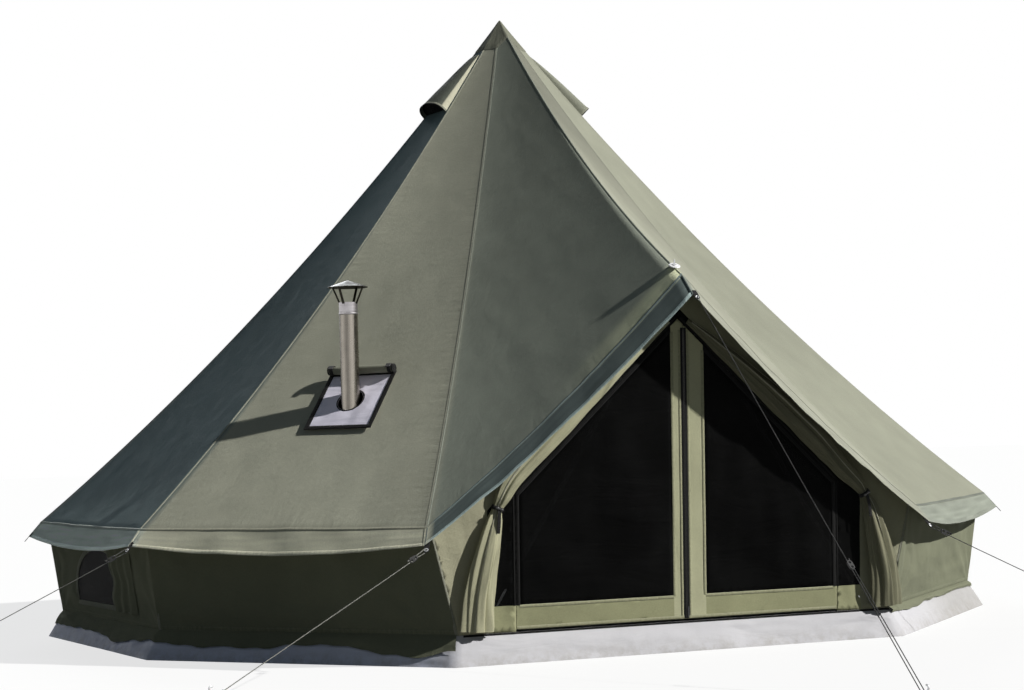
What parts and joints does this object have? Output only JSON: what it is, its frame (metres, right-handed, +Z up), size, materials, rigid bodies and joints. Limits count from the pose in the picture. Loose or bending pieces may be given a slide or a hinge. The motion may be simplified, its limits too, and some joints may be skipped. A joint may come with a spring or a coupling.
{
  "type": "bell tent",
  "caption": "Round canvas bell tent with a centre pole, A-frame doorway, zipped mesh doors, tied-back canvas doors, stove jack with flue pipe, vents, windows and guys.",
  "frame": {"origin": "foot of the centre pole, on the underside of the groundsheet floor", "axes": "+Z up along the centre pole, the doorway faces -Y, +X to the right of someone facing the doorway from outside"},
  "size_m": [5.9536, 6.8326, 3.3888],
  "materials": {
    "canvas_olive": "proofed cotton canvas",
    "canvas_door": "proofed cotton canvas",
    "ground_pvc": "coated groundsheet",
    "net_black": "fine insect mesh",
    "pole_steel": "galvanised",
    "pipe_steel": "brushed",
    "black_webbing": "matte",
    "heat_white": "coated glass cloth",
    "white_plastic": "moulded",
    "rubber": "matte",
    "rope": "braided"
  },
  "bodies": {
    "tent": {"roof_panel_1": "canvas_olive", "roof_panel_2": "canvas_olive", "roof_panel_3": "canvas_olive", "roof_panel_4": "canvas_olive", "roof_panel_5": "canvas_olive", "roof_panel_6": "canvas_olive", "roof_panel_7": "canvas_olive", "roof_panel_8": "canvas_olive", "roof_panel_9": "canvas_olive", "roof_door_left": "canvas_olive", "roof_door_right": "canvas_olive", "apex_cap": "canvas_olive", "vent_hood_left": "canvas_olive", "vent_hood_right": "canvas_olive", "wall_panel_1": "canvas_olive", "wall_panel_2": "canvas_olive", "wall_rear_left": "canvas_olive", "wall_panel_5": "canvas_olive", "wall_rear_right": "canvas_olive", "wall_panel_8": "canvas_olive", "wall_panel_9": "canvas_olive", "window_cover_left": "canvas_olive", "window_cover_right": "canvas_olive", "jack_rain_flap": "canvas_olive", "window_net_left": "net_black", "door_surround_left": "net_black", "door_flap_left": "canvas_door", "a_frame_leg_left": "pole_steel", "window_net_right": "net_black", "door_surround_right": "net_black", "door_flap_right": "canvas_door", "a_frame_leg_right": "pole_steel", "groundsheet_floor": "ground_pvc", "groundsheet_rim": "ground_pvc", "centre_pole_foot": "rubber", "centre_pole_lower": "pole_steel", "centre_pole_upper": "pole_steel", "a_frame_apex_joint": "pole_steel", "a_frame_cap": "white_plastic", "jack_frame": "black_webbing", "jack_heat_panel": "heat_white", "stovepipe": "pipe_steel", "guy_rope_1": "rope", "guy_peg_1": "pole_steel", "guy_rope_2": "rope", "guy_peg_2": "pole_steel", "guy_rope_3": "rope", "guy_peg_3": "pole_steel", "guy_rope_4": "rope", "guy_peg_4": "pole_steel"},
    "mesh_door_left": {"door_border_left": "canvas_door", "door_net_left": "net_black"},
    "mesh_door_right": {"door_border_right": "canvas_door", "door_net_right": "net_black"},
    "zip_slider": {"zip_slider": "rubber"},
    "stovepipe_cap": {"stovepipe_cap": "pipe_steel"},
    "guy_tensioner_1": {"guy_tensioner_1": "black_webbing"},
    "guy_tensioner_2": {"guy_tensioner_2": "black_webbing"},
    "guy_tensioner_3": {"guy_tensioner_3": "black_webbing"},
    "guy_tensioner_4": {"guy_tensioner_4": "black_webbing"}
  },
  "joints": [
    {"name": "mesh_door_left_hinge", "type": "hinge", "parent": "tent", "child": "mesh_door_left", "pos_m": [0, -2.31967, 1.50848], "axis": [-0.7208, 0.0317, -0.6924], "range_deg": [0, 80]},
    {"name": "mesh_door_right_hinge", "type": "hinge", "parent": "tent", "child": "mesh_door_right", "pos_m": [0, -2.31967, 1.50848], "axis": [-0.7208, -0.0317, 0.6924], "range_deg": [0, 80]},
    {"name": "zip_slide", "type": "slide", "parent": "mesh_door_right", "child": "zip_slider", "axis": [0, -0.0458, 0.999], "range_m": [0, 1.245]},
    {"name": "rain_cap_lift", "type": "slide", "parent": "tent", "child": "stovepipe_cap", "axis": [0, 0, 1], "range_m": [0, 0.06]},
    {"name": "guy_tensioner_1_slide", "type": "slide", "parent": "tent", "child": "guy_tensioner_1", "axis": [0.8063, -0.3825, 0.4512], "range_m": [-0.15, 0]},
    {"name": "guy_tensioner_2_slide", "type": "slide", "parent": "tent", "child": "guy_tensioner_2", "axis": [0.8234, 0.4023, 0.4001], "range_m": [-0.15, 0]},
    {"name": "guy_tensioner_3_slide", "type": "slide", "parent": "tent", "child": "guy_tensioner_3", "axis": [0.0209, -0.7348, -0.678], "range_m": [-0.4, 0]},
    {"name": "guy_tensioner_4_slide", "type": "slide", "parent": "tent", "child": "guy_tensioner_4", "axis": [-0.8887, 0.1143, 0.444], "range_m": [-0.15, 0]}
  ]
}
